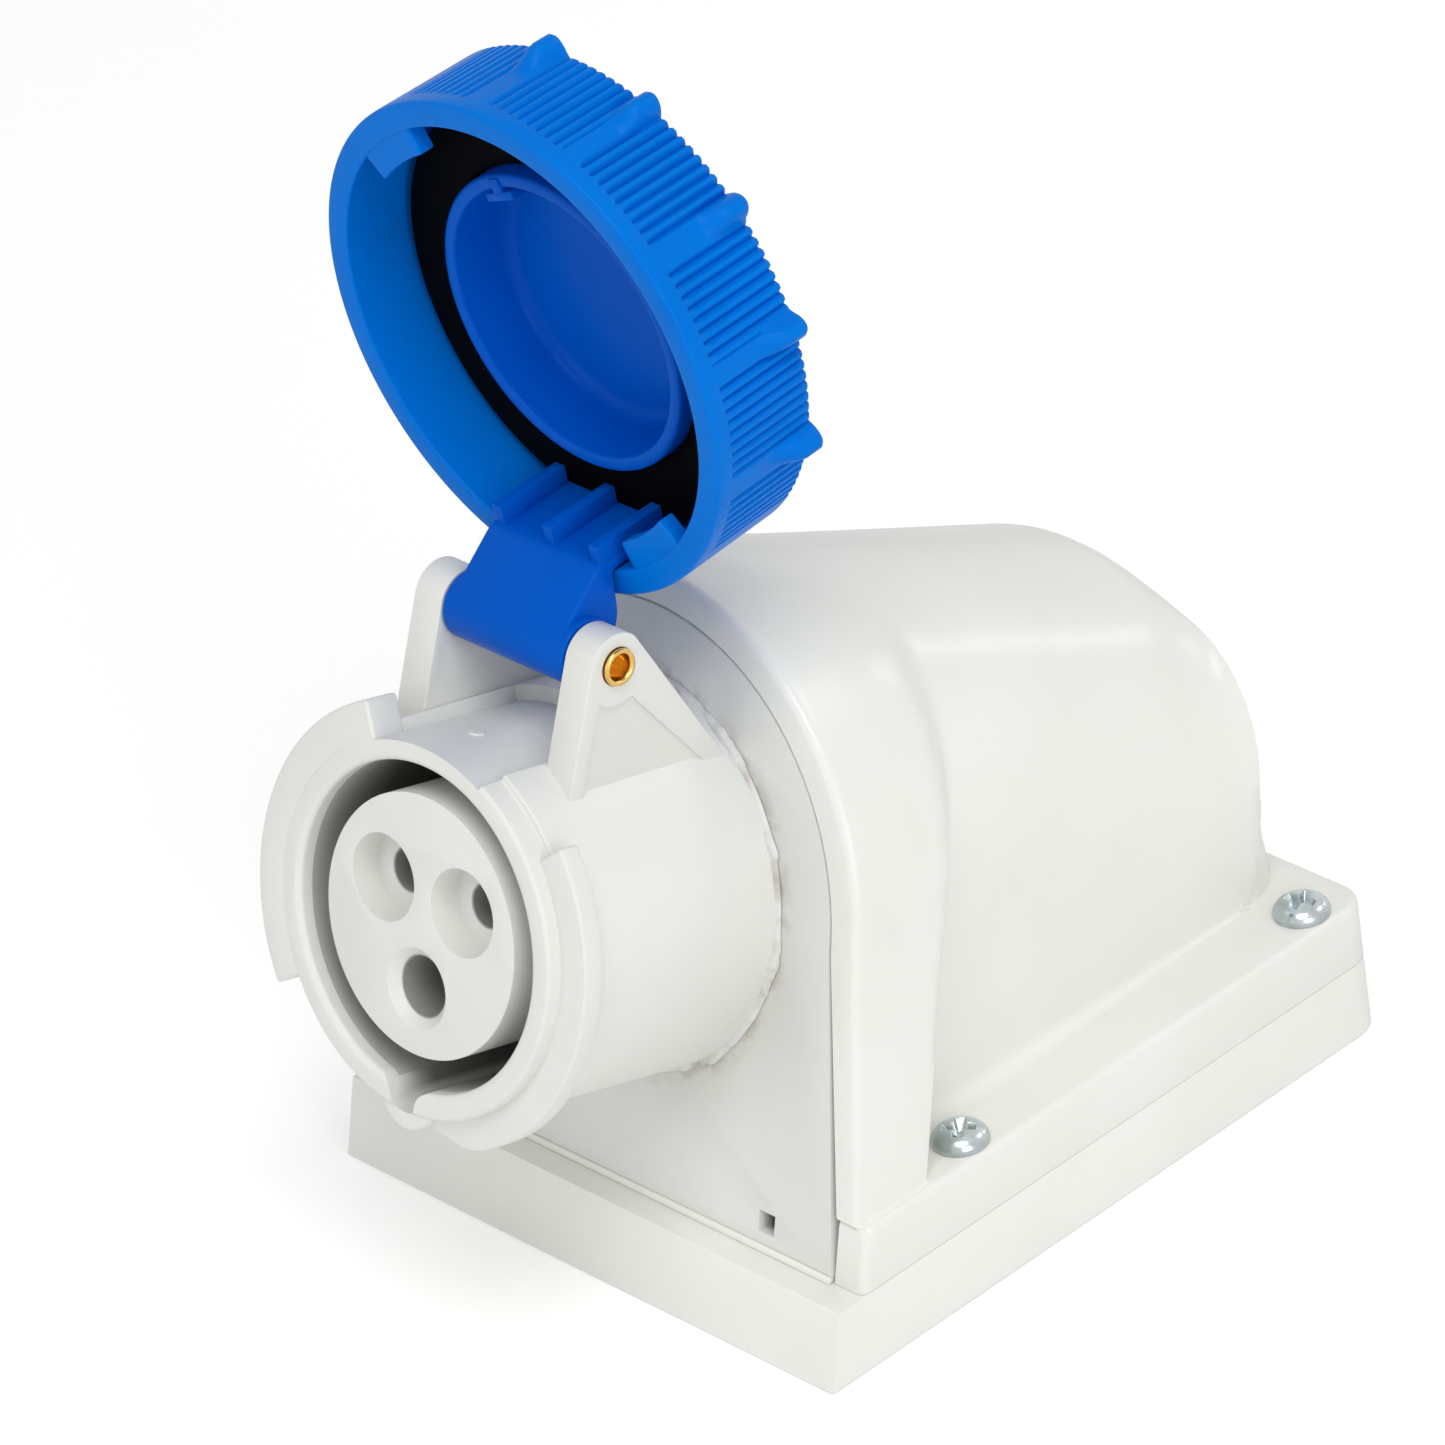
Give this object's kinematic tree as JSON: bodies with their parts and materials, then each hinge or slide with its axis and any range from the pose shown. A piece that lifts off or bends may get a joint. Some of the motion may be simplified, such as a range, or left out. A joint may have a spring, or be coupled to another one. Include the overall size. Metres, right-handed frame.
{
  "type": "wall-mounted pin-and-sleeve socket outlet",
  "caption": "Wall-mounted weatherproof pin-and-sleeve socket outlet: domed hood on a shallow back box, slanted socket barrel, hinged blue lid with a bayonet locking ring.",
  "frame": {"origin": "centre of the back box's wall face", "axes": "+Z away from the wall, -Y the way the socket points, +X to the right of someone facing the socket"},
  "size_m": [0.096, 0.1341, 0.1763],
  "materials": {
    "housing_white": "smooth moulded",
    "socket_grey": "smooth moulded",
    "lid_blue": "smooth moulded",
    "black_rubber": "matt",
    "brass": "bright",
    "zinc_steel": "zinc plated",
    "joint_sealant": "rough"
  },
  "bodies": {
    "housing": {"back_box": "housing_white", "base_seal": "black_rubber", "cable_grommet": "black_rubber", "hood": "housing_white", "cover_screw_1": "zinc_steel", "cover_screw_2": "zinc_steel", "cover_screw_3": "zinc_steel", "cover_screw_4": "zinc_steel", "front_plate": "socket_grey", "sealant_bead": "joint_sealant", "barrel_seal": "black_rubber", "socket_barrel": "socket_grey", "hinge_pin": "brass", "contact_insert": "socket_grey", "insert_lock_ring": "socket_grey", "line_contact": "brass", "line_clamp_screw": "zinc_steel", "line_spring": "zinc_steel", "neutral_contact": "brass", "neutral_clamp_screw": "zinc_steel", "neutral_spring": "zinc_steel", "earth_contact": "brass", "earth_clamp_screw": "zinc_steel", "earth_spring": "zinc_steel", "contact_retainer": "socket_grey", "retainer_screw_1": "zinc_steel", "retainer_screw_2": "zinc_steel", "retainer_screw_3": "zinc_steel"},
    "lid": {"lid_cap": "lid_blue", "lid_gasket": "black_rubber"},
    "ring": {"locking_ring": "lid_blue"}
  },
  "joints": [
    {"name": "lid_hinge", "type": "hinge", "parent": "housing", "child": "lid", "pos_m": [0, -0.04601, 0.09821], "axis": [1, 0, 0], "range_deg": [0, 161.3]},
    {"name": "ring_turn", "type": "hinge", "parent": "lid", "child": "ring", "pos_m": [0, -0.03088, 0.13751], "axis": [0, -0.9984, -0.0558], "range_deg": [0, 53.5]}
  ]
}
